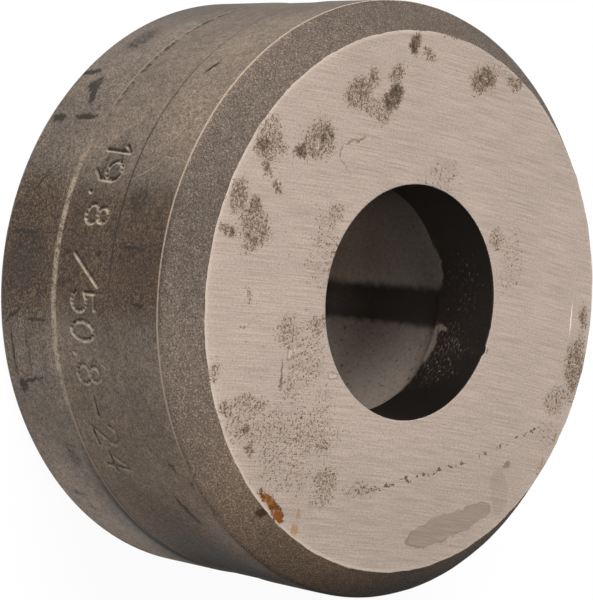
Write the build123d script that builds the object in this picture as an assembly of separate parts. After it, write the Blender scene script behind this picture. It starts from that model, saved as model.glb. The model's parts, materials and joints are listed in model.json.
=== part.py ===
from build123d import *
from math import radians, tan
import os

# Round die for an ironworker's punching station, turned from one bar of tool steel.
# It stands on its seat with the cutting face up. The origin is the middle of the seat
# and +Z runs up the bore. Lengths are in millimetres.

# Overall sizes
height = 24.0
body_diameter = 50.8

# Ground cutting face and the chamfer round it
chamfer_width = 2.58
chamfer_height = 2.75
rubbed_corner_radius = 0.15

# Band turned a little smaller, where the sizes are struck
nose_length = 8.95
band_length = 7.0
band_depth = 0.08
band_run_out = 0.65

# Edge of the seat
seat_break_width = 0.3
seat_break_height = 0.55

# Hole: a straight cutting land, then a wider way out for the slug
bore_diameter = 19.84
bore_edge_break = 0.05
land_length = 6.6
slug_clearance = 1.2
shoulder_slope = 31.0
mouth_break = 0.5

# Levels above the seat
band_top = height - nose_length
band_bottom = band_top - band_length
fit_top = band_bottom - band_run_out
land_bottom = height - land_length

# Radii
body_radius = body_diameter / 2
face_radius = body_radius - chamfer_width
band_radius = body_radius - band_depth
bore_radius = bore_diameter / 2
relief_radius = bore_radius + slug_clearance


def spun(outline):
    """Spin a closed outline, drawn as radius and level, about the axis of the die."""
    section = make_face(Plane.XZ * Polyline(*outline, close=True))
    return revolve(section, Axis.Z)


def turned_body():
    """Outside of the die: seat, fit in the holder, marking band, nose and cutting face."""
    outline = [
        (0, 0),
        (body_radius - seat_break_width, 0),
        (body_radius, seat_break_height),
        (body_radius, fit_top),
        (band_radius, band_bottom),
        (band_radius, band_top),
        (body_radius, band_top),
        (body_radius, height - chamfer_height),
        (face_radius, height),
        (0, height),
    ]
    body = spun(outline)
    corner = body.edges().filter_by(GeomType.CIRCLE).sort_by(Axis.Z)[-2]
    return fillet(corner, rubbed_corner_radius)


def slug_hole():
    """Hole through the die: the land's broken edge, the land, its shoulder and the relief."""
    shoulder_height = slug_clearance * tan(radians(shoulder_slope))
    outline = [
        (0, 0),
        (relief_radius + mouth_break, 0),
        (relief_radius, mouth_break),
        (relief_radius, land_bottom - shoulder_height),
        (bore_radius, land_bottom),
        (bore_radius, height - bore_edge_break),
        (bore_radius + bore_edge_break, height),
        (0, height),
    ]
    return spun(outline)


os.makedirs("parts", exist_ok=True)
die = turned_body() - slug_hole()
die.label = "die"
export_step(die, "parts/die.step")
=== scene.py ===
import json
import math

import bmesh
import bpy
import numpy as np
from mathutils import Matrix, Vector

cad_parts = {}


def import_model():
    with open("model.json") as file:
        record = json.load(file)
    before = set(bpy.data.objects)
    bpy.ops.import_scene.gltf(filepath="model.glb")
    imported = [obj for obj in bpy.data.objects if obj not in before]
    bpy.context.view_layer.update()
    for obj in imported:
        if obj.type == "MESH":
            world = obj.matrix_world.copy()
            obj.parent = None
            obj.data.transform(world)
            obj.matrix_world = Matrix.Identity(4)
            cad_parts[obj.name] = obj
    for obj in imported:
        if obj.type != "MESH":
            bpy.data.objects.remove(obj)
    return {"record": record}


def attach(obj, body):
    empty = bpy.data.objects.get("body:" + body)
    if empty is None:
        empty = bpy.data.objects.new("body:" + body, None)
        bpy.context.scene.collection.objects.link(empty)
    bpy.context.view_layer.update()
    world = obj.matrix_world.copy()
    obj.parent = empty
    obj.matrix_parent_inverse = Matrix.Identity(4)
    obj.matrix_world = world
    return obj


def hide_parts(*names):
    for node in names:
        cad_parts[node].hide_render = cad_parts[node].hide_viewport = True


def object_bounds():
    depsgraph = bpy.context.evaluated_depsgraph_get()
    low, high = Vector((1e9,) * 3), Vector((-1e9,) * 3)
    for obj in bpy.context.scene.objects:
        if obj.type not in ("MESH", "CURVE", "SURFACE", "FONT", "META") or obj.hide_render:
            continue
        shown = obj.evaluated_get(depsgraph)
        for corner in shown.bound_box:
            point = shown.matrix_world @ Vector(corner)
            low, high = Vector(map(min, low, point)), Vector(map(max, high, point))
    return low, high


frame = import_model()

cad_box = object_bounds()

# Sizes of the die in millimetres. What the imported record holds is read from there.
MM = 0.001
mounts = {mount["name"]: mount for mount in frame["record"]["mounts"]}
height = cad_box[1].z / MM
body_radius = mounts["holder_fit"]["dims"]["r_mm"]
bore_radius = mounts["cutting_bore"]["dims"]["r_mm"]
bore_edge_break = 0.05
land_length = mounts["cutting_bore"]["dims"]["length_mm"]
chamfer_width = 2.58
chamfer_height = 2.75
nose_length = 8.95
band_length = 7.0
band_depth = 0.08
band_run_out = 0.65
seat_break_width = 0.3
seat_break_height = 0.55
slug_clearance = 1.2
shoulder_height = 0.72
mouth_break = 0.5

# Levels above the seat
chamfer_bottom = height - chamfer_height
band_top = height - nose_length
band_bottom = band_top - band_length
fit_top = band_bottom - band_run_out
land_bottom = height - bore_edge_break - land_length
relief_top = land_bottom - shoulder_height

# Radii
face_radius = body_radius - chamfer_width
band_radius = body_radius - band_depth
relief_radius = bore_radius + slug_clearance

# Camera, as the photograph was taken: beside the cutting face, with the bore lying level in the picture
CAMERA_PLACE = (0.0, -150.74, 174.68)
CAMERA_AIM = (0.76, 0.0, 9.59)
CAMERA_ROLL = 95.8
LENS = 151.8
NEAREST_SEEN = 0.01

# Soft lamps: place and size in metres, and power. All of them point at the die
LAMPS = {
    "key": ((-0.42, -0.18, 0.5), 0.4, 8.0),
    "fill": ((0.1, -0.56, 0.22), 0.4, 2.5),
}
LAMP_AIM = (0.0, 0.0, 0.01)

# Light of the sky on its bright side, towards -X, and on the other
SKY_BRIGHT = 0.65
SKY_DIM = 0.12

# The floor: its reach to each side in metres, how light it is where it takes a shadow, and how much
# of its white is its own where the camera or a mirror sees it
FLOOR_REACH = 1.5
FLOOR_GREY = 0.85
FLOOR_WHITE = 0.95

# Rows of the mesh lie this close to the corners of the section, where there is room
CLOSE_ROW = 0.1

# Columns of the mesh round the axis, and the finer stretch of the band that takes the struck figures,
# from one azimuth and level to another
COLUMNS = 360
FIGURE_CUTS = 6
FIGURES_FROM = (-27.0, 9.7)
FIGURES_TO = (44.0, 14.0)

# How close to a ring of the section a point counts as on it
SAME_PLACE = 1e-4


# Struck figures: the plain sizes of the die in millimetres, as bore, outside and height

ARC_POINTS = 13


def bow(across, up, wide, tall, start, end):
    """Part of an oval, between two angles counted from the right-hand side."""
    turns = np.radians(np.linspace(start, end, ARC_POINTS))
    return [(across + wide * math.cos(a), up + tall * math.sin(a)) for a in turns]


# Strokes of each figure on a cell one high, with the bottom left corner at nought, and the point of
# the cell that a blow leans about
CELL_MIDDLE = (0.3, 0.5)
FIGURES = {
    "0": [bow(0.3, 0.5, 0.27, 0.5, 0, 360)],
    "1": [[(0.12, 0.76), (0.3, 1.0), (0.3, 0.0)]],
    "2": [bow(0.29, 0.73, 0.27, 0.27, 165, -40) + [(0.02, 0.0), (0.6, 0.0)]],
    "4": [[(0.42, 0.0), (0.42, 1.0), (0.0, 0.3), (0.6, 0.3)]],
    "5": [[(0.54, 1.0), (0.08, 1.0), (0.05, 0.56)], bow(0.27, 0.32, 0.3, 0.32, 125, -150)],
    "8": [bow(0.29, 0.76, 0.22, 0.24, 0, 360), bow(0.29, 0.27, 0.28, 0.27, 0, 360)],
    "9": [bow(0.29, 0.71, 0.27, 0.29, 0, 360), [(0.56, 0.71), (0.48, 0.22), (0.22, 0.0)]],
    "/": [[(0.0, 0.0), (0.62, 1.1)]],
    "-": [[(0.0, 0.5), (0.56, 0.5)]],
    ".": [[(0.1, 0.0), (0.12, 0.03)]],
}

# Each blow of the stamps: figure, azimuth of its left side, level of its foot, size, lean and depth
BLOWS = [
    ("1", -25.4, 10.5, 3.1, -4, 1.0),
    ("9", -21.2, 10.2, 3.2, 5, 0.95),
    (".", -15.7, 10.3, 3.0, 0, 0.9),
    ("8", -12.6, 10.6, 2.9, -3, 0.85),
    ("/", -2.7, 10.0, 3.3, -8, 1.0),
    ("5", 3.6, 10.2, 2.9, 4, 0.85),
    ("0", 9.0, 10.1, 2.9, -4, 0.8),
    (".", 14.6, 10.2, 3.0, 0, 0.75),
    ("8", 17.3, 10.3, 2.9, 3, 0.7),
    ("-", 23.8, 10.2, 3.0, -2, 0.6),
    ("2", 29.4, 10.3, 3.1, 5, 0.85),
    ("4", 35.6, 10.2, 3.2, -4, 0.9),
]
STROKE_HALF_WIDTH = 0.19
STROKE_DEPTH = 0.2
LIP_HEIGHT = 0.03


def struck_strokes():
    """Every straight bit of every stroke: its two ends, in millimetres round the band and up, and
    its depth."""
    bits = []
    middle_across, middle_up = CELL_MIDDLE
    for figure, azimuth, foot, size, lean, depth in BLOWS:
        left = math.radians(azimuth) * band_radius
        turn = math.radians(lean)
        for stroke in FIGURES[figure]:
            points = []
            for across, up in stroke:
                across, up = (across - middle_across) * size, (up - middle_up) * size
                turned = across * math.cos(turn) - up * math.sin(turn)
                raised = across * math.sin(turn) + up * math.cos(turn)
                points.append((left + middle_across * size + turned, foot + middle_up * size + raised))
            bits += [(a, b, depth) for a, b in zip(points, points[1:])]
    return bits


def sway(values, seed, length):
    """Slow seeded waver between about -1 and 1 along a run of values."""
    draw = np.random.default_rng(seed)
    total = np.zeros_like(values)
    for octave in range(4):
        pace = math.tau / length * 1.9 ** octave
        total += np.sin(values * pace + draw.uniform(0, math.tau)) / 1.6 ** octave
    return total / 2.2


def strike_depths(around, level):
    """How deep the stamps have gone at each point, from 0 to 1, how high the metal stands beside, where
    a stroke is painted dark with shade and dirt, and where its lit side is painted bright as a
    highlight."""
    deep, lip, dirty, bright = np.zeros((4, len(around)))
    # The lit side of a stroke, where a highlight is painted, turns from its upper to its lower side
    # round the die
    toward_light = np.interp(around / band_radius, np.radians([-25, 44]), np.radians([35, -60]))
    # Low down, less of the lit side is painted bright and more of a stroke is painted dark
    shine = np.interp(around / band_radius, np.radians([14, 28]), [1.0, 0.45])
    dark_low_down = 1.2 - shine
    for (ax, ay), (bx, by), depth in struck_strokes():
        run = np.array([bx - ax, by - ay])
        along = ((around - ax) * run[0] + (level - ay) * run[1]) / max(run @ run, 1e-9)
        along = np.clip(along, 0, 1)
        right, up = around - ax - along * run[0], level - ay - along * run[1]
        off = np.hypot(right, up)
        share = off / STROKE_HALF_WIDTH
        facing = (right * np.cos(toward_light) + up * np.sin(toward_light)) / np.maximum(off, 0.01)
        lit_share = np.clip(0.2 + facing, 0, 1)
        deep = np.maximum(deep, depth * np.clip(1.15 - 1.15 * share ** 1.6, 0, 1))
        lip = np.maximum(lip, depth * np.exp(-((share - 1.4) / 0.4) ** 2))
        dirty = np.maximum(dirty, depth * np.clip(1.3 - share, 0, 1) * (1 - lit_share * shine + dark_low_down))
        bright = np.maximum(bright, shine * depth * lit_share * np.exp(-((share - 1.0) / 0.48) ** 2))
    uneven = 0.8 + 0.3 * sway(around * 1.3 + level * 2.1, 3, 4.0)
    return deep * uneven, lip * uneven * (deep < 0.05), dirty * uneven, bright * uneven


# The turned body


def stretch(start, end, spacing):
    """Rows of a straight stretch of the section, the first and last close to its corners."""
    start, end = np.array(start), np.array(end)
    length = np.linalg.norm(end - start)
    close = min(CLOSE_ROW, length / 4)
    count = max(2, round((length - 2 * close) / spacing) + 1)
    steps = [0.0, *np.linspace(close, length - close, count)]
    return [tuple(start + (end - start) * step / length) for step in steps]


def section():
    """Outline of the die as radius and level, from the mouth of the slug hole round to it again.
    Each corner comes with the spacing of the rows from it to the next."""
    corners = [
        ((relief_radius + mouth_break, 0.0), 3.0),
        ((body_radius - seat_break_width, 0.0), 0.5),
        ((body_radius, seat_break_height), 1.1),
        ((body_radius, fit_top), 0.4),
        ((band_radius, band_bottom), 0.5),
        ((band_radius, band_top), 0.5),
        ((body_radius, band_top), 1.0),
        ((body_radius, chamfer_bottom), 0.45),
        ((face_radius, height), 0.45),
        ((bore_radius + bore_edge_break, height), 0.1),
        ((bore_radius, height - bore_edge_break), 0.7),
        ((bore_radius, land_bottom), 0.5),
        ((relief_radius, relief_top), 2.0),
        ((relief_radius, mouth_break), 0.5),
    ]
    rows = []
    for n, (corner, spacing) in enumerate(corners):
        following = corners[(n + 1) % len(corners)][0]
        rows += stretch(corner, following, spacing)
    return rows


def ring(bm, radius, level):
    """Edges of the mesh that run round the die at that radius and level."""
    def on_ring(vert):
        across = math.hypot(vert.co.x, vert.co.y)
        return abs(across - radius) < SAME_PLACE and abs(vert.co.z - level) < SAME_PLACE
    return [edge for edge in bm.edges if all(on_ring(vert) for vert in edge.verts)]


def rub_corners(bm):
    """Rounds each sharp ring, at its radius and level, by as much as it has been rubbed."""
    lit_share = [
        (body_radius - seat_break_width, 0.0, 0.08),
        (body_radius, seat_break_height, 0.08),
        (body_radius, fit_top, 0.05),
        (body_radius, band_top, 0.025),
        (body_radius, chamfer_bottom, 0.06),
        (face_radius, height, 0.02),
        (bore_radius, land_bottom, 0.04),
    ]
    for radius, level, rounding in lit_share:
        bmesh.ops.bevel(
            bm, geom=ring(bm, radius, level), affect="EDGES", offset=rounding,
            offset_type="OFFSET", segments=3, profile=0.5, material=-1,
        )


def in_figures(face):
    """Whether a face lies in the stretch of the band where the figures are struck."""
    centre = face.calc_center_median()
    azimuth = math.degrees(math.atan2(centre.x, -centre.y))
    outside = math.hypot(centre.x, centre.y) > band_radius - 0.1
    in_turn = FIGURES_FROM[0] < azimuth < FIGURES_TO[0]
    return outside and in_turn and FIGURES_FROM[1] < centre.z < FIGURES_TO[1]


def refine_figures(bm):
    """Divides the struck stretch finely and sets the new points on the true round."""
    edges = [edge for edge in bm.edges if any(in_figures(face) for face in edge.link_faces)]
    bmesh.ops.subdivide_edges(bm, edges=edges, cuts=FIGURE_CUTS, use_grid_fill=True)
    for vert in bm.verts:
        across = math.hypot(vert.co.x, vert.co.y)
        if band_radius - 0.01 < across < band_radius + 0.001:
            vert.co.x *= band_radius / across
            vert.co.y *= band_radius / across


# Finishes, as the numbers that the mesh's faces carry
FACE, CHAMFER, BODY, LAND, RELIEF, SEAT = range(6)


def finish_of(face):
    """Which finish a face of the die has, from where it lies. The margins take in the roundings."""
    centre = face.calc_center_median()
    across = math.hypot(centre.x, centre.y)
    if centre.z > height - 0.001:
        return FACE
    if across < bore_radius + 0.06 and centre.z > land_bottom - 0.02:
        return LAND
    if across < relief_radius + mouth_break:
        return RELIEF if centre.z > 0.001 else SEAT
    if centre.z > chamfer_bottom + 0.03:
        return CHAMFER
    return SEAT if centre.z < 0.02 else BODY


def spun_die():
    """The section spun round the axis, rubbed at its corners and divided for the figures."""
    bm = bmesh.new()
    points = [bm.verts.new((radius, 0.0, level)) for radius, level in section()]
    for a, b in zip(points, points[1:] + points[:1]):
        bm.edges.new((a, b))
    bmesh.ops.spin(
        bm, geom=bm.verts[:] + bm.edges[:], axis=(0, 0, 1), cent=(0, 0, 0),
        angle=math.tau, steps=COLUMNS, use_merge=True,
    )
    bmesh.ops.remove_doubles(bm, verts=bm.verts[:], dist=1e-5)
    rub_corners(bm)
    refine_figures(bm)
    bmesh.ops.recalc_face_normals(bm, faces=bm.faces[:])
    for face in bm.faces:
        face.material_index = finish_of(face)
        face.smooth = True
    return bm


# Clusters of pits on the cutting face. Each is x, y, half-length along x, half-width along y,
# turn and strength
PIT_CLUSTERS = [
    (-16.6, -8.4, 1.9, 1.9, 0, 0.85),
    (-16.8, -4.4, 1.5, 1.4, 0, 1.0),
    (-18.8, -4.4, 1.2, 1.1, 0, 0.85),
    (-15.6, -6.2, 1.5, 2.4, 0, 0.75),
    (-18.0, -7.0, 1.1, 0.9, 0, 0.85),
    (-18.3, -6.6, 1.5, 1.5, 0, 0.5),
    (-21.4, -2.4, 1.4, 0.9, 0, 0.95),
    (-21.0, -0.6, 0.8, 1.1, 0, 0.85),
    (-22.6, 1.8, 0.5, 1.6, 0, 0.7),
    (-19.6, 5.9, 1.6, 2.2, 0, 0.88),
    (-19.9, 9.8, 0.9, 1.5, 0, 0.85),
    (-20.5, 8.0, 1.0, 2.2, 0, 0.6),
    (-12.2, -12.3, 2.3, 2.4, 0, 0.8),
    (-11.2, -14.0, 0.8, 1.0, 0, 1.0),
    (-13.2, -11.4, 0.8, 1.0, 0, 0.9),
    (-12.5, -11.9, 0.45, 0.4, 0, 1.0),
    (-12.8, -7.9, 0.4, 0.9, 0, 0.85),
    (-11.6, -17.6, 2.6, 1.9, 0, 0.78),
    (-11.2, -18.0, 0.8, 1.0, 0, 1.0),
    (-9.4, -17.9, 1.1, 0.6, 0, 0.9),
    (-8.2, -16.4, 0.8, 0.9, 0, 0.85),
    (-11.4, -16.0, 0.7, 0.9, 0, 0.8),
    (-7.2, -20.3, 2.0, 1.3, 0, 0.84),
    (-4.6, -18.4, 2.6, 2.1, 0, 0.82),
    (-4.4, -21.3, 0.7, 1.4, 0, 0.9),
    (-6.4, -18.6, 1.2, 0.9, 0, 0.9),
    (-6.7, -9.6, 1.2, 1.3, 0, 0.72),
    (-2.0, -11.4, 2.9, 2.0, 0, 0.52),
    (2.3, -10.4, 1.2, 1.4, 0, 0.74),
    (3.3, -13.7, 2.0, 1.5, 0, 0.72),
    (6.0, -11.2, 2.2, 2.2, 0, 0.66),
    (0.8, -18.5, 1.2, 0.5, 0, 0.78),
    (3.3, -18.6, 0.3, 0.6, 0, 0.8),
    (7.0, -21.2, 1.6, 0.9, 0, 0.74),
    (10.8, -17.2, 2.6, 3.6, 0, 0.66),
    (11.6, -17.5, 0.7, 0.8, 0, 0.9),
    (13.0, -16.5, 0.7, 0.8, 0, 0.86),
    (9.8, -19.6, 0.9, 1.0, 0, 0.82),
    (9.2, -17.0, 0.8, 3.0, 0, 0.76),
    (11.6, -11.0, 3.8, 5.8, 0, 0.56),
    (-3.5, -10.6, 5.0, 2.2, 0, 0.6),
    (5.0, -11.2, 4.5, 2.4, 0, 0.61),
    (-10.6, 1.5, 1.6, 3.4, 0, 0.55),
    (-4.3, 11.6, 4.0, 1.9, 0, 0.56),
    (14.4, -12.4, 3.0, 4.4, 0, 0.62),
    (12.0, -14.0, 3.6, 2.4, 0, 0.66),
    (7.2, -12.6, 3.2, 1.8, 0, 0.64),
    (16.0, -4.2, 1.0, 2.6, 0, 0.68),
    (16.8, -8.4, 1.3, 2.2, 0, 0.66),
    (11.2, -10.8, 2.4, 3.2, 0, 0.68),
    (12.4, -8.6, 0.9, 1.2, 0, 0.76),
    (9.0, -9.0, 2.0, 1.6, 0, 0.6),
    (15.0, -13.2, 1.6, 3.4, 0, 0.56),
    (15.4, -8.0, 1.7, 1.9, 0, 0.76),
    (-11.2, 2.4, 1.6, 2.5, 0, 0.62),
    (-6.3, 9.7, 1.3, 1.3, 0, 0.76),
    (-3.4, 11.6, 1.9, 1.8, 0, 0.56),
    (0.0, 21.8, 1.6, 0.8, 0, 0.85),
    (4.4, 21.4, 3.8, 1.8, 0, 0.82),
    (7.4, 19.2, 2.0, 2.0, 0, 0.7),
    (10.4, 18.6, 1.6, 2.2, 0, 0.6),
    (13.6, 18.4, 1.8, 0.8, -40, 0.6),
    (0.0, -12.0, 16.0, 9.0, 0, 0.26),
    (4.0, 0.0, 14.5, 14.5, 0, 0.24),
]

# How far the outlines of the clusters wander
PIT_WANDER = 0.4

# Colours of a pit from its rim inwards, each with the depths over which it comes
PIT_SHADES = [
    (0.05, 0.35, (164, 147, 132)),
    (0.25, 0.7, (118, 101, 86)),
    (0.6, 1.0, (62, 50, 41)),
]

# Fine dark lines on the cutting face, told as the clusters are: a scratch and an open loop
DARK_LINES = [
    (6.8, -14.0, 1.4, 0.15, 0, 0.8),
    (-12.6, -8.8, 0.9, 0.09, -66, 0.6),
    (-11.7, -9.8, 0.7, 0.09, -10, 0.6),
    (-10.7, -9.4, 0.8, 0.09, 50, 0.45),
    (3.6, 9.75, 0.4, 0.12, 0, 0.7),
]

# Single marks on the cutting face and beside it. Each oval is x, y, two half-lengths and, if it is
# turned, a turn
OLIVE_STAIN = [(18.9, 6.6, 1.15, 4.8, 17), (17.6, 10.3, 0.8, 1.7, 17)]
FAINT_STAIN = (15.7, 13.0, 2.1, 1.2, 12)
DARK_PATCH = (13.4, 13.7, 0.35, 0.45)
DROP_MARKS = [(-12.0, -12.5, 0.6, 0.35), (5.1, -13.3, 0.4, 0.3), (6.6, -8.3, 0.3, 0.45)]
BRIGHT_DENT = (0.1, 20.2, 1.7, 0.1)
RUST_STREAK = (17.1, -13.9, 1.5, 0.42, 53)
RUST_BLOB = (18.2, -12.9, 0.75, 0.45, 45)
RUST_SHADOW = (17.95, -14.4, 0.45, 0.45)
TAN_STAIN = (19.3, -10.9, 0.5, 0.45)
TAN_SPOTS = [(18.1, -10.7, 0.6, 0.25), (11.0, 19.6, 0.5, 0.2), (13.2, 18.2, 0.8, 0.2)]

# Arc of the grinding lines, by the y where they lie level, and arc of the chain of specks
WHEEL_MIDDLE = -15.0
WHEEL_RADIUS = 270.0
CHAIN_CENTRE = (-77.8, -19.0)
CHAIN_RADIUS = 95.0


def soft_ovals(across, up, ovals, inner=0.5, outer=1.3):
    """How strongly soft ovals cover each point. Each is a place, two half-lengths, a turn and
    a strength."""
    mask = np.zeros(len(across))
    for x, y, long, wide, turn, strength in ovals:
        cosine, sine = math.cos(math.radians(turn)), math.sin(math.radians(turn))
        along = (across - x) * cosine + (up - y) * sine
        beside = (up - y) * cosine - (across - x) * sine
        share = np.clip((outer - np.hypot(along / long, beside / wide)) / (outer - inner), 0, 1)
        mask = np.maximum(mask, strength * share ** 2 * (3 - 2 * share))
    return mask


# Brown stains and grime on the outside. Each is an azimuth, a level, half-lengths round the die and
# up it, a turn and a strength
BROWN_STAINS = [
    (-6.3, 3.2, 0.17, 2.2, 0, 0.8),
    (-5.6, 5.4, 0.4, 0.18, 0, 0.7),
    (-1.5, 3.2, 3.0, 2.6, 0, 0.25),
    (9.2, 2.3, 1.5, 0.2, 121, 0.7),
    (10.0, 5.4, 0.17, 1.5, 0, 0.6),
    (17.0, 1.7, 2.3, 0.2, 0, 0.6),
    (16.0, 3.8, 2.0, 0.16, 0, 0.4),
    (22.2, 3.3, 2.1, 0.2, 103, 0.6),
    (23.4, 2.2, 0.7, 0.7, 0, 0.65),
    (-16.0, 3.3, 1.6, 0.18, -46, 0.5),
    (-42.0, 1.6, 0.4, 1.4, 10, 0.7),
    (-38.5, 3.6, 1.0, 0.9, 0, 0.65),
    (-35.5, 4.4, 1.2, 0.5, 30, 0.6),
    (-30.0, 1.8, 0.5, 1.0, 0, 0.65),
    (-30.5, 5.4, 0.3, 1.6, 0, 0.65),
    (-53.0, 3.5, 2.2, 1.4, 0, 0.4),
    (-61.0, 8.2, 0.5, 0.4, 0, 0.5),
    (-5.0, 17.4, 0.18, 1.2, 0, 0.85),
    (5.3, 18.8, 0.2, 0.8, 0, 0.7),
    (-14.0, 16.9, 1.4, 1.1, 0, 0.35),
    (-43.6, 17.0, 0.8, 0.24, 154, 0.85),
    (47.5, 17.9, 1.8, 0.35, 18, 0.75),
    (36.0, 19.2, 0.9, 0.3, 40, 0.5),
    (40.0, 20.8, 0.6, 0.3, 0, 0.4),
    (-3.3, 9.1, 0.4, 0.35, 0, 0.6),
    (-3.5, 13.3, 0.35, 0.3, 0, 0.7),
    (-21.0, 12.0, 2.6, 1.6, 0, 0.3),
    (37.5, 5.8, 1.6, 0.9, 0, 0.26),
    (48.5, 2.8, 0.5, 1.2, 0, 0.34),
    (52.5, 3.2, 0.8, 0.4, 0, 0.3),
    (61.0, 3.2, 0.5, 0.4, 0, 0.25),
]

# Pale scratches, told in the same way
SCRATCHES = [
    (-19.2, 16.6, 1.8, 0.05, 118, 0.6),
    (-22.3, 18.9, 0.06, 1.1, 0, 0.5),
    (17.5, 13.8, 0.5, 0.07, 60, 0.6),
    (-31.0, 12.5, 0.9, 0.05, 40, 0.4),
    (20.5, 17.6, 0.7, 0.05, 15, 0.35),
]

# Dust on the land, in millimetres round it from +Y, and up
DUST = [(-2.0, 20.6, 5.0, 3.4, 0, 0.12), (4.5, 19.6, 5.0, 3.4, 0, 0.17)]

# Pale ragged crescents on the end of the land, told in the same way
PALE_CRESCENTS = [
    (-3.6, 17.5, 2.3, 0.5, 0, 0.85),
    (3.6, 17.5, 2.1, 0.6, 0, 1.0),
    (2.0, 18.2, 0.35, 0.9, 0, 0.9),
    (8.0, 17.4, 3.0, 0.3, 0, 0.5),
]

# Painted shade and light on the scale, where it is drawn darker or paler than the rest. Each is an
# azimuth, a level, half-lengths round the die and up it, a turn, and the tone against the rest
PAINTED_SCALE_SHADING = [
    (-4, 10, 6.8, 60, 0, 0.5),
    (-44, 19, 9, 6, 0, 1.25),
    (-76, 12, 6, 40, 0, 0.8),
    (33, 14, 11, 8, 0, 0.8),
    (82, 15, 13.5, 10, 0, 0.14),
    (54, 12, 6, 7, 0, 0.75),
    (0, 2.5, 200, 4.5, 0, 0.78),
    (-70, 3, 7, 5, 0, 0.78),
    (-3, 19, 2, 3.5, 0, 0.8),
    (60, 2, 12, 4.5, 0, 1.9),
    (-53, 2.5, 8, 5, 0, 1.25),
]

# Painted shade and light on the chamfer in the same way, by azimuth only, with a half-width in degrees
PAINTED_CHAMFER_SHADING = [
    (-14, 26, 0.8),
    (40, 45, 1.4),
    (98, 45, 0.42),
]

# Azimuths over which what changes round the die comes back to what it was, so that no seam shows
BACK = (125.0, 176.0)

# Levels over which the scale of the fit gives way to the band's
ABOVE_FIT = (6.8, 8.2)

# Degrees in a radian
IN_DEGREES = math.degrees(1)

# Nicks in the cutting edge: azimuth, half-width in degrees and depth, and how far in and down they go
NICKS = [(159.2, 2.7, 0.2), (171.5, 0.8, 0.05), (-62.0, 0.9, 0.05)]
NICK_REACH = 0.45
NICK_HEIGHT = 0.9

# How far the ground edges wander, the outer one and the rim of the face, and how wide they are
EDGE_WIDTH = 0.12
OUTER_WANDER = 0.02
RIM_WANDER = 0.05
RIM_TEETH = 0.015


def painted_shading(azimuth, level, on_chamfer):
    """Painted shade and light at each point of the outside: how much darker or paler than its usual
    tone the scale is drawn.
    """
    around, turned = azimuth * body_radius, np.degrees(azimuth)
    tone = np.ones(len(azimuth))
    for middle, up, wide, tall, turn, factor in PAINTED_SCALE_SHADING:
        oval = (math.radians(middle) * body_radius, up, wide, tall, turn, 1.0)
        tone *= 1 + (factor - 1) * soft_ovals(around, level, [oval])
    chamfer = np.ones(len(azimuth))
    for middle, half, factor in PAINTED_CHAMFER_SHADING:
        off = np.abs(turned - middle)
        chamfer *= 1 + (factor - 1) * np.clip(1 - off / half, 0, 1) ** 0.8
    # Painted light and shade: paler towards the face, most of all low down, where the outer edge is
    # darker too
    inward = np.clip((level - chamfer_bottom) / chamfer_height, 0, 1)
    forward = np.clip((turned - 15) / 25, 0, 1) * np.clip((175 - turned) / 40, 0, 1)
    low = np.clip((turned - 60) / 25, 0, 1) * np.clip((150 - turned) / 25, 0, 1)
    chamfer *= 1 + 0.3 * inward * forward
    chamfer *= 1 + low * (1.1 * inward - 0.35)
    return np.where(on_chamfer, chamfer, tone)


def work_surface(mesh):
    """Strikes the figures, nicks the cutting edge and leaves the outer edge as uneven as it is."""
    count = len(mesh.vertices)
    points = np.empty(count * 3)
    mesh.vertices.foreach_get("co", points)
    points = points.reshape(-1, 3)
    x, y, z = points.T
    across = np.hypot(x, y)
    azimuth = np.arctan2(x, -y)
    around = azimuth * body_radius

    on_band = (across > band_radius - 0.02) & (z > FIGURES_FROM[1] - 0.3) & (z < FIGURES_TO[1] + 0.3)
    deep, lip, dirty, bright = struck = np.zeros((4, count))
    struck[:, on_band] = strike_depths(azimuth[on_band] * band_radius, z[on_band])
    out = -STROKE_DEPTH * deep + LIP_HEIGHT * lip

    in_reach = np.clip(1 - (across - bore_radius) / NICK_REACH, 0, 1) * (z > height - NICK_HEIGHT)
    for middle, half, depth in NICKS:
        share = np.clip(1 - ((np.degrees(azimuth) - middle) / half) ** 2, 0, 1)
        out += depth * share * in_reach

    # The chamfer runs out a little unevenly on the outside
    near_edge = np.exp(-((z - chamfer_bottom) / EDGE_WIDTH) ** 2) * (across > face_radius)
    out -= OUTER_WANDER * near_edge * (1 + sway(around, 8, 9.0))

    # The ground face breaks into the chamfer along a ragged line
    rim = np.exp(-((across - face_radius) / EDGE_WIDTH) ** 2) * (z > height - 0.3)
    out += rim * (RIM_WANDER * sway(around, 12, 5.0) + RIM_TEETH * sway(around, 13, 2.0))

    points[:, 0] += np.sin(azimuth) * out
    points[:, 1] -= np.cos(azimuth) * out
    mesh.vertices.foreach_set("co", (points * MM).ravel())
    pits = soft_ovals(x + PIT_WANDER * sway(y, 5, 5.0), y + PIT_WANDER * sway(x, 6, 5.0), PIT_CLUSTERS)
    # Painted shade and light on the outside, handed to the finishes on the mesh
    tone = painted_shading(azimuth, z, z > chamfer_bottom + 0.1)
    values_of = {"dirty": dirty, "bright": bright, "pits": pits * (z > height - 0.01), "tone": tone}
    for name, values in values_of.items():
        layer = mesh.attributes.new(name, "FLOAT", "POINT")
        layer.data.foreach_set("value", values)
    mesh.update()


# Finishes


def paint(red, green, blue):
    """A colour as it reads on a screen, from 0 to 255, for a shader."""
    shares = [value / 255 for value in (red, green, blue)]
    return tuple([s / 12.92 if s < 0.04 else ((s + 0.055) / 1.055) ** 2.4 for s in shares] + [1.0])


def feed(tree, socket, value):
    """Links a socket to what another node gives, or gives it a value of its own."""
    if isinstance(value, bpy.types.NodeSocket):
        tree.links.new(value, socket)
    elif value is not None:
        socket.default_value = value


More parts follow.
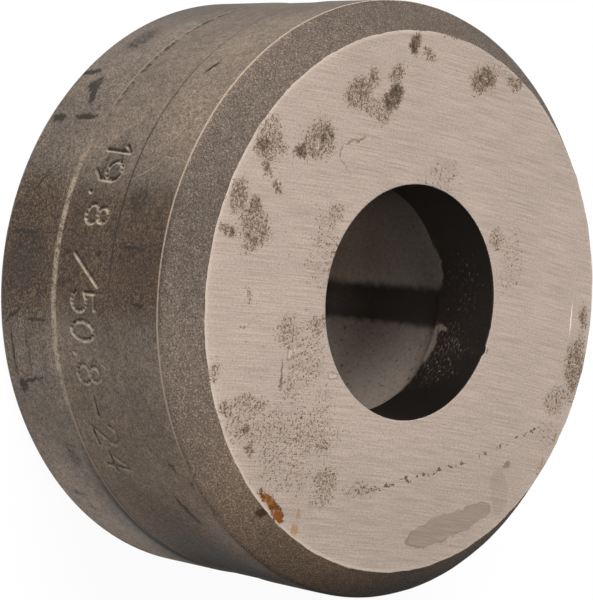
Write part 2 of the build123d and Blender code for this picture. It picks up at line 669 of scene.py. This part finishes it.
def add_node(tree, kind, *values, **settings):
    """Adds a node with its settings, and feeds its inputs in order."""
    node = tree.nodes.new(kind)
    for name, value in settings.items():
        setattr(node, name, value)
    for socket, value in zip(node.inputs, values):
        feed(tree, socket, value)
    return node


class Finish:
    """One material, built on the object's own coordinates in millimetres."""

    def __init__(self, name, metal, gloss=0.5):
        self.material = bpy.data.materials.new(name)
        self.material.use_nodes = True
        self.tree = self.material.node_tree
        self.shader = self.tree.nodes["Principled BSDF"]
        self.shader.inputs["Metallic"].default_value = metal
        self.shader.inputs["Specular IOR Level"].default_value = gloss
        place = self.node("ShaderNodeTexCoord").outputs["Object"]
        self.place = self.vector("SCALE", place, None, None, 1 / MM)
        self.x, self.y, self.z = self.node("ShaderNodeSeparateXYZ", self.place).outputs

    def node(self, kind, *values, **settings):
        return add_node(self.tree, kind, *values, **settings)

    def vector(self, operation, *values):
        node = self.node("ShaderNodeVectorMath", *values, operation=operation)
        return node.outputs["Value" if operation == "LENGTH" else "Vector"]

    def joined(self, x, y, z=0.0):
        return self.node("ShaderNodeCombineXYZ", x, y, z).outputs[0]

    def math(self, operation, *values):
        return self.node("ShaderNodeMath", *values, operation=operation).outputs[0]

    def through(self, operation, first, *others):
        """One operation through several values, from left to right."""
        for other in others:
            first = self.math(operation, first, other)
        return first

    def times(self, *values):
        return self.through("MULTIPLY", *values)

    def plus(self, *values):
        return self.through("ADD", *values)

    def most(self, *values):
        return self.through("MAXIMUM", *values)

    def least(self, *values):
        return self.through("MINIMUM", *values)

    def raised(self, value, by, share):
        """A value raised by a share of another."""
        return self.math("MULTIPLY_ADD", by, share, value)

    def apart(self, first, second):
        """How far apart two values are."""
        return self.math("ABSOLUTE", self.math("SUBTRACT", first, second))

    def step(self, value, low, high, before=0.0, after=1.0):
        """Runs smoothly from one value to another while the input goes from low to high."""
        node = self.node(
            "ShaderNodeMapRange", value, low, high, before, after, interpolation_type="SMOOTHSTEP",
        )
        return node.outputs[0]

    def within(self, value, rise, fall, top=1.0):
        """Rises from nought over the first two limits, and falls back to it over the last two."""
        return self.times(self.step(value, *rise), self.step(value, *fall, top, 0.0))

    def noise(self, place, scale, detail=3.0, rough=0.55):
        node = self.node("ShaderNodeTexNoise", place)
        node.inputs["Scale"].default_value = scale
        node.inputs["Detail"].default_value = detail
        node.inputs["Roughness"].default_value = rough
        return node.outputs["Fac"]

    def streaks(self, across, across_scale, along, along_scale, rough=0.55, layer=0.0):
        """Noise with a scale of its own in each of two directions."""
        place = self.joined(self.times(across, across_scale), self.times(along, along_scale), layer)
        return self.noise(place, 1.0, 2, rough)

    def value(self, name):
        """A value painted on the mesh."""
        return self.node("ShaderNodeAttribute", attribute_name=name).outputs["Fac"]

    def ragged(self, place, scale, amount):
        """The place moved about by noise, so that what is drawn on it has an uneven outline."""
        node = self.node("ShaderNodeTexNoise", place)
        node.inputs["Scale"].default_value = scale
        node.inputs["Detail"].default_value = 3.0
        shift = self.vector("SUBTRACT", node.outputs["Color"], (0.5, 0.5, 0.5))
        shift = self.vector("MULTIPLY", shift, (amount, amount, 0.0))
        return self.vector("ADD", place, shift)

    def spot(self, place, x, y, long, wide, turn=0.0):
        """Distance from the middle of an oval, as a share of its half-length and half-width."""
        node = self.node("ShaderNodeMapping", place, vector_type="TEXTURE")
        node.inputs["Location"].default_value = (x, y, 0)
        node.inputs["Rotation"].default_value = (0, 0, math.radians(turn))
        node.inputs["Scale"].default_value = (long, wide, 1)
        return self.vector("LENGTH", node.outputs[0])

    def patches(self, place, spots, inner, outer):
        """Soft ovals in one mask. Each is x, y, half-length, half-width, turn and strength."""
        masks = []
        for *oval, strength in spots:
            masks.append(self.step(self.spot(place, *oval), inner, outer, strength, 0.0))
        return self.most(*masks)

    def blend(self, share, first, second, kind="MIX"):
        node = self.node("ShaderNodeMix", data_type="RGBA", blend_type=kind)
        for socket, value in ((0, share), (6, first), (7, second)):
            feed(self.tree, node.inputs[socket], value)
        return node.outputs[2]

    def shade(self, colour, amount):
        """The colour made lighter or darker by a value round one."""
        return self.blend(1.0, colour, self.joined(amount, amount, amount), "MULTIPLY")

    def tint(self, share, colour, red, green, blue):
        """The colour shifted by a factor for each of red, green and blue, where the share is high."""
        return self.blend(share, colour, self.blend(1.0, colour, (red, green, blue, 1.0), "MULTIPLY"))

    def relief(self, heights):
        """Bumps one over another. Each is a height from 0 to 1 and its rise in millimetres."""
        normal = None
        for value, rise in heights:
            node = self.node("ShaderNodeBump")
            node.inputs["Distance"].default_value = rise * MM
            feed(self.tree, node.inputs["Height"], value)
            feed(self.tree, node.inputs["Normal"], normal)
            normal = node.outputs[0]
        return normal

    def done(self, colour, rough, heights):
        feed(self.tree, self.shader.inputs["Base Color"], colour)
        feed(self.tree, self.shader.inputs["Roughness"], rough)
        feed(self.tree, self.shader.inputs["Normal"], self.relief(heights))
        return self.material


def grinding_lines(f):
    """Fine lines, broad ones and deeper scores. They run along Y and bend, as the wheel went over."""
    bend = f.math("POWER", f.plus(f.y, -WHEEL_MIDDLE), 2.0)
    line = f.math("SUBTRACT", f.x, f.math("DIVIDE", bend, 2 * WHEEL_RADIUS))
    fine = f.streaks(line, 10.0, f.y, 0.2, 0.7)
    broad = f.streaks(line, 0.8, f.y, 0.03, 0.6)
    scored = f.step(f.streaks(line, 5.5, f.y, 0.05, layer=7.0), 0.62, 0.72)
    return fine, broad, scored


def speck_chain(f, loose):
    """Specks along an arc, where wet stock lay, with gaps between them and none past its ends."""
    off = f.apart(f.spot(loose, *CHAIN_CENTRE, 1.0, 1.0), CHAIN_RADIUS)
    chain = f.step(off, 0.1, f.step(f.y, 3.0, 8.0, 0.75, 0.38), 0.9, 0.0)
    gaps = f.step(f.noise(f.joined(f.times(f.y, 1.1), 0.0), 1.0, 2), 0.4, 0.56, 0.5, 1.0)
    end = f.step(f.math("ABSOLUTE", f.y), 17.0, 19.0, 1.0, 0.0)
    chain = f.times(chain, gaps, f.step(f.y, -8.0, -4.0), end)
    dots = f.streaks(f.x, 2.8, f.y, 1.8, 0.6)
    return f.step(f.raised(dots, chain, 0.3), 0.74, 0.84, 0.0, 0.8)


def storage_pits(f, flat, loose, pits, grain):
    """How deep the pits are, in three sizes, where the painted clusters are strong."""
    deepest = f.step(pits, 0.75, 1.0, 0.0, 0.06)
    large = f.step(f.plus(f.raised(grain, pits, 0.36), deepest), 0.71, 1.0)
    small = f.step(f.raised(f.noise(flat, 3.4, 2, 0.7), pits, 0.4), 0.78, 0.94, 0.0, 0.62)
    tiny = f.step(f.raised(f.noise(flat, 5.5, 2, 0.6), pits, 0.4), 0.82, 0.93, 0.0, 0.75)
    return f.most(large, small, tiny, speck_chain(f, loose))


def clean_face(f, flat, fine, broad, scored, mottle):
    """Colour of the ground face where nothing has stained it, with a painted highlight along its rubbed
    edge.
    """
    cloud = f.noise(flat, 0.12, 3)
    across = f.vector("LENGTH", flat)
    # Paler towards the edge on one side, a painted highlight
    rim = f.times(f.step(across, 21.5, 22.5, 0.0, 0.07), f.step(f.y, -12.0, -8.0, 1.0, 0.0))
    flecks = f.step(f.noise(flat, 5.0, 3, 0.8), 0.5, 0.7, 0.0, f.step(f.x, 2.0, 14.0, 0.5, 0.8))
    tone = f.times(
        f.step(broad, 0.25, 0.75, 0.98, 1.02),
        f.step(fine, 0.3, 0.7, 0.86, 1.14),
        f.step(mottle, 0.3, 0.7, 0.85, 1.16),
        f.step(cloud, 0.3, 0.7, 0.97, 1.03),
        f.raised(1.0, scored, -0.11),
    )
    tone = f.times(
        f.plus(tone, rim),
        f.step(f.x, -24.0, 2.0, 0.92, 1.0),
        f.step(f.x, 7.0, 19.0, 1.0, 0.92),
        f.raised(1.0, flecks, -0.3),
    )
    # The rubbed edge, painted pale as a highlight on one side
    edge = f.step(across, face_radius - 0.4, face_radius - 0.1, 0.0, 0.3)
    edge = f.times(edge, f.step(f.y, -4.0, 4.0, 1.0, 0.3))
    return f.blend(edge, f.shade(paint(170, 154, 142), tone), paint(214, 198, 182))


def olive_stain(f, flat, colour, mottle):
    """The olive stain with its dark outline, a fainter one beyond it and a dark patch."""
    wet = f.ragged(flat, 0.6, 1.3)
    off = f.least(*[f.spot(wet, *oval) for oval in OLIVE_STAIN])
    faint = f.step(f.spot(wet, *FAINT_STAIN), 0.9, 1.1, 0.5, 0.0)
    stained = f.most(f.step(off, 0.92, 1.06, 1.0, 0.0), faint)
    uneven = f.step(f.noise(flat, 0.7, 2), 0.4, 0.6, 0.15, 1.0)
    outline = f.times(f.within(off, (0.88, 0.97), (1.0, 1.05)), uneven)
    patch = f.step(f.spot(wet, *DARK_PATCH), 0.8, 1.2, 0.7, 0.0)
    colour = f.tint(f.times(stained, f.step(mottle, 0.35, 0.65, 0.5, 1.0)), colour, 0.7, 0.675, 0.635)
    colour = f.blend(f.times(outline, 0.7), colour, paint(122, 108, 92))
    return f.blend(patch, colour, paint(112, 98, 84))


def drop_marks(f, loose, colour):
    """Small marks left by drops, pale inside a dark ring."""
    for place in DROP_MARKS:
        off = f.spot(loose, *place)
        ring = f.within(off, (0.8, 1.0), (1.1, 1.45), 0.5)
        colour = f.blend(f.step(off, 0.5, 0.9, 0.25, 0.0), colour, paint(206, 191, 177))
        colour = f.blend(ring, colour, paint(104, 90, 78))
    return colour


def rust(f, flat, grain, colour):
    """Rust at the edge of the face, with the tan stain beside it. Gives the colour and where it is."""
    crust = f.ragged(flat, 2.2, 0.6)
    crumbs = f.step(grain, 0.35, 0.65, 0.35, -0.35)
    blob = f.spot(crust, *RUST_BLOB)
    rusted = f.step(f.plus(f.least(f.spot(crust, *RUST_STREAK), blob), crumbs), 0.8, 1.25, 1.0, 0.0)
    fainter = [f.plus(f.spot(crust, *spot), 0.25) for spot in TAN_SPOTS]
    off = f.least(f.spot(crust, *TAN_STAIN), *fainter)
    colour = f.blend(f.step(f.plus(off, crumbs), 0.5, 1.35, 0.75, 0.0), colour, paint(150, 116, 76))
    rusty = f.blend(f.step(grain, 0.4, 0.62), paint(134, 84, 34), paint(70, 39, 16))
    rusty = f.blend(f.step(blob, 0.7, 1.1, 0.8, 0.0), rusty, paint(118, 63, 18))
    return f.blend(rusted, colour, rusty), rusted


def ground_face():
    """Cutting face: fine grinding lines, pits and stains of long storage, one spot of rust."""
    f = Finish("ground_face", 0.2, 0.3)
    flat = f.joined(f.x, f.y)
    loose = f.ragged(flat, 1.3, 0.9)
    fine, broad, scored = grinding_lines(f)
    mottle = f.noise(flat, 5.5, 3, 0.8)
    grain = f.noise(flat, 1.3, 4, 0.95)
    pits = f.value("pits")
    pitted = storage_pits(f, flat, loose, pits, grain)
    stray = f.step(f.raised(f.noise(flat, 3.3, 2, 0.6), pits, 0.21), 0.71, 0.78)

    colour = clean_face(f, flat, fine, broad, scored, mottle)
    colour = olive_stain(f, flat, colour, mottle)
    colour = f.blend(f.patches(loose, DARK_LINES, 0.5, 1.2), colour, paint(92, 78, 66))
    for low, high, shade in PIT_SHADES:
        colour = f.blend(f.step(pitted, low, high), colour, paint(*shade))
    colour = f.blend(f.times(stray, 0.75), colour, paint(84, 71, 61))
    colour = drop_marks(f, loose, colour)
    bright = f.step(f.spot(f.ragged(flat, 2.0, 0.2), *BRIGHT_DENT), 0.5, 1.1, 0.7, 0.0)
    colour = f.blend(bright, colour, paint(240, 228, 212))
    colour, rusted = rust(f, flat, grain, colour)
    rough = f.raised(0.62, f.most(pitted, rusted), 0.2)
    sunk_lines, sunk_pits = f.times(scored, -1.0), f.times(pitted, -1.0)
    return f.done(colour, rough, [(fine, 0.006), (sunk_lines, 0.004), (sunk_pits, 0.04)])


def worn_line(f, middle, half, grain):
    """Bright line rubbed on an edge at a level, broken up by a grain."""
    off = f.plus(f.apart(f.z, middle), f.step(grain, 0.3, 0.7, -0.04, 0.04))
    return f.step(off, f.times(half, 0.4), half, 1.0, 0.0)


def rubbed_edge(f, colour, azimuth, grain, end):
    """The outer edge of the chamfer, rubbed bright, less so low down."""
    fade = f.most(f.step(azimuth, 28.0, end, 1.0, 0.12), f.step(azimuth, *BACK))
    worn = f.times(worn_line(f, chamfer_bottom, 0.075, grain), fade)
    duller = f.within(azimuth, (-45.0, 5.0), BACK)
    return f.blend(worn, colour, f.blend(duller, paint(152, 135, 118), paint(122, 108, 94)))


def blasted_chamfer():
    """Chamfer: coarse blasted scale with painted glints and painted shade and light, rubbed bright
    along its outer edge.
    """
    f = Finish("blasted_chamfer", 0.2, 0.3)
    azimuth = f.times(f.math("ARCTAN2", f.x, f.times(f.y, -1.0)), IN_DEGREES)
    grain = f.noise(f.place, 8.0, 2, 0.8)
    coarse = f.noise(f.place, 1.4, 4, 0.7)
    cloud = f.noise(f.place, 0.15, 2)
    # Pale specks on the grain, painted in as glints
    light = f.step(f.noise(f.place, 7.0, 2, 0.8), 0.53, 0.68)
    tone = f.times(
        f.raised(f.step(grain, 0.36, 0.64, 0.45, 1.2), light, 1.25),
        f.step(coarse, 0.3, 0.7, 0.86, 1.16),
        f.step(cloud, 0.3, 0.7, 0.94, 1.06),
        f.value("tone"),
    )
    colour = rubbed_edge(f, f.shade(paint(86, 75, 66), tone), azimuth, grain, 40.0)
    off = f.spot(f.ragged(f.joined(f.x, f.y), 2.0, 0.5), *RUST_SHADOW)
    colour = f.blend(f.step(off, 0.7, 1.2, 0.9, 0.0), colour, paint(52, 34, 22))
    colour = f.tint(f.within(azimuth, (15.0, 80.0), BACK), colour, 1.12, 0.97, 0.79)
    return f.done(colour, 0.78, [(grain, 0.025), (coarse, 0.03)])


def scale_colour(f, azimuth, grain, coarse):
    """Colour of the scale under its painted shade and light. Where the painted shade is deep, it is
    also browner and its grain is stronger.
    """
    # How deep the painted shade is
    deep_shade = f.step(f.value("tone"), 0.42, 0.76, 1.0, 0.0)
    deep_shade = f.times(deep_shade, f.step(azimuth, -100.0, -60.0, 0.4, 1.0))
    rougher = f.step(azimuth, 14.0, 40.0, 1.35, 0.9)
    strength = f.times(
        f.step(azimuth, -62.0, -30.0, 0.6, 1.0),
        f.step(azimuth, *BACK, 1.0, 0.6),
        f.step(f.z, *ABOVE_FIT, rougher, 1.0),
        f.raised(1.0, deep_shade, 0.85),
    )
    cloud = f.noise(f.place, 0.22, 3)
    tone = f.times(
        f.math("POWER", f.step(grain, 0.34, 0.66, 0.5, 1.5), strength),
        f.step(coarse, 0.3, 0.7, 0.8, 1.2),
        f.step(cloud, 0.3, 0.7, 0.92, 1.08),
        f.value("tone"),
    )
    warm = f.times(
        f.step(azimuth, -32.0, -8.0, 0.12, 0.8),
        f.step(azimuth, *BACK, 1.0, 0.15),
        f.step(f.z, *ABOVE_FIT, f.step(azimuth, 14.0, 40.0, 1.0, 0.2), 1.0),
    )
    warm = f.step(f.noise(f.place, 0.35, 4, 0.65), 0.46, 0.66, 0.0, warm)
    lower = f.times(f.within(azimuth, (12.0, 45.0), BACK), f.step(f.z, *ABOVE_FIT))
    colour = f.tint(warm, f.shade(paint(94, 82, 71), tone), 0.98, 0.93, 0.86)
    colour = f.tint(deep_shade, colour, 0.91, 0.735, 0.56)
    return f.tint(lower, colour, 1.05, 0.98, 0.88)


def round_side(spots):
    """The same spots with their azimuths in millimetres round the outside."""
    return [(math.radians(azimuth) * body_radius, *rest) for azimuth, *rest in spots]


def side_marks(f, side, colour):
    """Brown stains, pale scratches and dark specks on the scale."""
    brown = f.patches(f.ragged(side, 1.4, 0.7), round_side(BROWN_STAINS), 0.5, 1.25)
    broken = f.step(f.raised(f.noise(f.place, 2.4, 3, 0.75), brown, 0.55), 0.6, 0.8)
    colour = f.blend(f.most(broken, f.times(brown, 0.85)), colour, paint(34, 25, 18))
    scratched = f.patches(f.ragged(side, 0.7, 0.5), round_side(SCRATCHES), 0.5, 1.1)
    colour = f.blend(scratched, colour, paint(140, 128, 114))
    specks = f.step(f.noise(f.place, 2.6, 3, 0.7), 0.68, 0.76)
    return f.blend(f.times(specks, 0.5), colour, paint(48, 40, 34))


def figure_marks(f, coarse, colour):
    """Painted shade and dirt in the struck figures, and painted highlights on their lit sides."""
    colour = f.blend(f.step(f.value("dirty"), 0.1, 0.75, 0.0, 0.9), colour, paint(28, 22, 18))
    patchy = f.step(coarse, 0.35, 0.6, 0.55, 1.0)
    # Painted highlight on the lit side of each stroke
    return f.blend(f.times(f.value("bright"), patchy), colour, paint(168, 152, 134))


def cone_marks(f, azimuth, grain, coarse, colour):
    """The cone below the band: rubbed bright in front, and in shade low down."""
    middle = (fit_top + band_bottom) / 2
    # The bright stretch fades sooner towards -X than towards +X
    turned = f.plus(azimuth, 1.0)
    turned = f.most(f.times(turned, -1.0), f.times(turned, 0.74))
    half = f.step(azimuth, 12.0, 34.0, 0.38, 0.2)
    bright = f.times(
        worn_line(f, middle, half, grain),
        f.step(turned, 14.0, 27.0, 1.0, 0.0),
        f.step(f.plus(grain, coarse), 0.85, 1.12, 0.2, 1.0),
    )
    shaded = f.times(
        worn_line(f, middle, 0.8, grain),
        f.step(azimuth, 26.0, 62.0, 0.0, 0.95),
        f.step(azimuth, 90.0, 130.0, 1.0, 0.0),
    )
    colour = f.blend(bright, colour, paint(132, 118, 103))
    return f.blend(shaded, colour, paint(34, 28, 24))


def band_end_marks(f, azimuth, around, grain, colour):
    """A thin rubbed line and dots of grime at the band's lower end, and a painted shadow line in its
    upper corner.
    """
    rearward = f.within(azimuth, (-95.0, -75.0), (-38.0, -28.0))
    forward = f.within(azimuth, (16.0, 27.0), (52.0, 66.0), 0.8)
    thin = f.times(worn_line(f, band_bottom - 0.08, 0.085, grain), f.most(rearward, forward))
    dots = f.step(f.streaks(around, 2.0, f.z, 1.6), 0.45, 0.55)
    near = f.step(f.apart(f.z, band_bottom + 0.3), 0.15, 0.45, 0.9, 0.0)
    # A dark line of painted shadow in the band's upper corner, under the step
    shadow_line = f.times(
        f.step(f.apart(f.z, band_top - 0.03), 0.06, 0.21, 0.97, 0.0),
        f.step(azimuth, -6.0, 9.0, 1.0, 0.15),
        f.step(azimuth, -100.0, -60.0, 0.15, 1.0),
    )
    colour = f.blend(f.times(thin, 0.55), colour, paint(150, 135, 120))
    colour = f.blend(f.times(dots, near, rearward), colour, paint(42, 31, 24))
    return f.blend(shadow_line, colour, paint(28, 23, 19))


def body_scale():
    """Outside: heat-treat scale with stains and rubbed edges, painted shade and light over it, painted
    shade, dirt and highlights in the figures, and a painted shadow line.
    """
    f = Finish("body_scale", 0.2, 0.3)
    turn = f.math("ARCTAN2", f.x, f.times(f.y, -1.0))
    azimuth, around = f.times(turn, IN_DEGREES), f.times(turn, body_radius)
    grain = f.noise(f.place, 5.0, 3, 0.8)
    coarse = f.noise(f.place, 1.3, 4, 0.7)
    colour = scale_colour(f, azimuth, grain, coarse)
    colour = side_marks(f, f.joined(around, f.z), colour)
    colour = figure_marks(f, coarse, colour)
    colour = rubbed_edge(f, colour, azimuth, grain, 36.0)
    colour = cone_marks(f, azimuth, grain, coarse, colour)
    colour = band_end_marks(f, azimuth, around, grain, colour)
    # Dull with grime low on the +X side
    dull = f.step(azimuth, *BACK, 0.02, 0.3)
    feed(f.tree, f.shader.inputs["Specular IOR Level"], f.step(azimuth, 54.0, 72.0, 0.3, dull))
    rough = f.step(f.z, fit_top, band_bottom, 0.58, 0.68)
    return f.done(colour, rough, [(grain, 0.012), (coarse, 0.02)])


def bore_land():
    """Cutting land: blackened, with dust on it and a ragged pale crescent at its lower end."""
    f = Finish("bore_land", 0.1, 0.3)
    around = f.times(f.math("ARCTAN2", f.x, f.y), bore_radius)
    side = f.joined(around, f.z)
    grain = f.noise(f.place, 5.0, 3, 0.7)
    flecks = f.raised(f.streaks(around, 2.2, f.z, 7.0, 0.7), f.noise(f.place, 0.5, 2), 0.1)
    specks = f.step(f.plus(flecks, f.patches(side, DUST, 0.3, 1.4)), 0.78, 0.88)
    pale = f.patches(f.ragged(side, 1.5, 0.9), PALE_CRESCENTS, 0.6, 1.1)
    darker = f.most(f.step(around, 3.0, 10.0, 1.0, 0.4), f.step(around, 16.0, 30.0, 0.4, 1.0))
    colour = f.shade(paint(28, 22, 18), f.step(grain, 0.3, 0.7, 0.75, 1.25))
    colour = f.shade(colour, darker)
    colour = f.blend(f.times(specks, 0.6), colour, paint(120, 112, 102))
    colour = f.blend(pale, colour, f.shade(paint(98, 89, 80), f.step(grain, 0.3, 0.7, 0.7, 1.2)))
    return f.done(colour, 0.55, [(grain, 0.01)])


def relief_wall():
    """Way out for the slug: drilled, with thin scale, painted light and shade by level and side, and
    one dark stripe of painted shade down its far side.
    """
    f = Finish("relief_wall", 0.1, 0.3)
    turn = f.times(f.math("ARCTAN2", f.x, f.y), IN_DEGREES)
    wavy = f.plus(turn, f.step(f.noise(f.place, 1.2, 3), 0.3, 0.7, -0.5, 0.5))
    grain = f.noise(f.place, 3.0, 3, 0.7)
    small = f.step(f.noise(f.place, 2.0, 2, 0.6), 0.63, 0.7)
    large = f.step(f.noise(f.place, 1.5, 2, 0.5), 0.69, 0.73)
    specks = f.times(f.most(small, large), f.step(turn, 8.0, 16.0, 0.3, f.step(turn, *BACK, 1.0, 0.3)))
    # Painted light and shade: paler low down near the open end, where light comes in, darker deeper in
    upper = f.step(f.z, 2.0, 15.5, 5.4, 0.95)
    lower = f.step(f.z, 1.0, 8.0, 2.3, 1.0)
    colour = f.blend(f.step(wavy, 4.0, 16.0), paint(110, 102, 95), paint(112, 102, 93))
    colour = f.shade(colour, f.step(grain, 0.3, 0.7, 0.84, 1.16))
    colour = f.shade(colour, f.step(turn, 0.0, 14.0, upper, f.step(turn, *BACK, lower, upper)))
    colour = f.blend(f.times(specks, 0.8), colour, paint(44, 38, 33))
    # A dark stripe of painted shade down the far side
    shade_stripe = f.within(wavy, (-10.2, -4.8), (8.6, 13.0))
    shade_stripe = f.times(shade_stripe, f.step(f.z, 0.5, 8.0, 0.85, 1.0), 0.95)
    colour = f.blend(shade_stripe, colour, paint(38, 31, 27))
    return f.done(colour, 0.55, [(grain, 0.02)])


def ground_seat():
    """Seat: ground flat, like the cutting face, and handled."""
    f = Finish("ground_seat", 0.35)
    fine = f.noise(f.joined(f.times(f.x, 5.0), f.times(f.y, 0.15)), 1.0, 4, 0.7)
    cloud = f.noise(f.place, 0.2, 3)
    colour = f.shade(paint(150, 136, 124), f.step(fine, 0.25, 0.75, 0.9, 1.1))
    colour = f.shade(colour, f.step(cloud, 0.3, 0.7, 0.85, 1.1))
    return f.done(colour, 0.45, [(fine, 0.01)])


# The die, the floor, the light and the camera


def mesh_of(bm, name):
    """The shape as a mesh of its own."""
    mesh = bpy.data.meshes.new(name)
    bm.to_mesh(mesh)
    bm.free()
    return mesh


def placed(name, data):
    """A new object in the scene, of a mesh, a lamp or a camera."""
    thing = bpy.data.objects.new(name, data)
    bpy.context.scene.collection.objects.link(thing)
    return thing


def build_die():
    """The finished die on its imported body."""
    mesh = mesh_of(spun_die(), "die_turned")
    work_surface(mesh)
    for finish in (ground_face, blasted_chamfer, body_scale, bore_land, relief_wall, ground_seat):
        mesh.materials.append(finish())
    die = placed("die_turned", mesh)
    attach(die, "root")
    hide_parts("die")


def floor_white():
    """White that the camera sees near white, and that still takes the die's shadow."""
    material = bpy.data.materials.new("floor_white")
    material.use_nodes = True
    tree = material.node_tree
    tree.nodes.clear()

    def combined(operation, first, second):
        return add_node(tree, "ShaderNodeMath", first, second, operation=operation).outputs[0]

    # A mirror sees it white too, but not under the die, where the hole stays dark
    seen = add_node(tree, "ShaderNodeLightPath").outputs
    place = add_node(tree, "ShaderNodeTexCoord").outputs["Object"]
    off = add_node(tree, "ShaderNodeVectorMath", place, operation="LENGTH").outputs["Value"]
    outside = combined("GREATER_THAN", off, body_radius * MM)
    mirrored = combined("MULTIPLY", outside, seen["Is Glossy Ray"])
    share = combined("MULTIPLY", combined("MAXIMUM", seen["Is Camera Ray"], mirrored), FLOOR_WHITE)
    lit = add_node(tree, "ShaderNodeBsdfDiffuse", (FLOOR_GREY, FLOOR_GREY, FLOOR_GREY, 1.0)).outputs[0]
    white = add_node(tree, "ShaderNodeEmission").outputs[0]
    mixed = add_node(tree, "ShaderNodeMixShader", share, lit, white).outputs[0]
    add_node(tree, "ShaderNodeOutputMaterial", mixed)
    return material


def floor():
    """Plain white floor that the die stands on."""
    bm = bmesh.new()
    bmesh.ops.create_grid(bm, x_segments=1, y_segments=1, size=FLOOR_REACH)
    mesh = mesh_of(bm, "floor")
    mesh.materials.append(floor_white())
    placed("floor", mesh)


def lamp(name, place, size, power):
    """Soft square lamp aimed at the die."""
    data = bpy.data.lights.new(name, "AREA")
    data.shape = "SQUARE"
    data.size = size
    data.energy = power
    light = placed(name, data)
    light.location = place
    light.rotation_euler = (Vector(LAMP_AIM) - Vector(place)).to_track_quat("-Z", "Y").to_euler()


def world():
    """Pale light from all round, stronger from the side that faced the window."""
    sky = bpy.data.worlds.new("studio")
    bpy.context.scene.world = sky
    sky.use_nodes = True
    tree = sky.node_tree
    way = add_node(tree, "ShaderNodeTexCoord").outputs["Generated"]
    side = add_node(tree, "ShaderNodeSeparateXYZ", way).outputs["X"]
    strength = add_node(tree, "ShaderNodeMapRange", side, -1.0, 1.0, SKY_BRIGHT, SKY_DIM)
    feed(tree, tree.nodes["Background"].inputs["Strength"], strength.outputs[0])


def camera():
    """Camera where the photograph was taken, turned so that the bore lies level in the picture."""
    data = bpy.data.cameras.new("camera")
    data.lens = LENS
    data.clip_start = NEAREST_SEEN
    view = placed("camera", data)
    place, aim = Vector(CAMERA_PLACE) * MM, Vector(CAMERA_AIM) * MM
    level = (aim - place).to_track_quat("-Z", "Y").to_matrix().to_4x4()
    roll = Matrix.Rotation(math.radians(CAMERA_ROLL), 4, "Z")
    view.matrix_world = Matrix.Translation(place) @ level @ roll
    bpy.context.scene.camera = view


build_die()
floor()
for name, (place, size, power) in LAMPS.items():
    lamp(name, place, size, power)
world()
camera()
bpy.context.scene.view_settings.view_transform = "Standard"
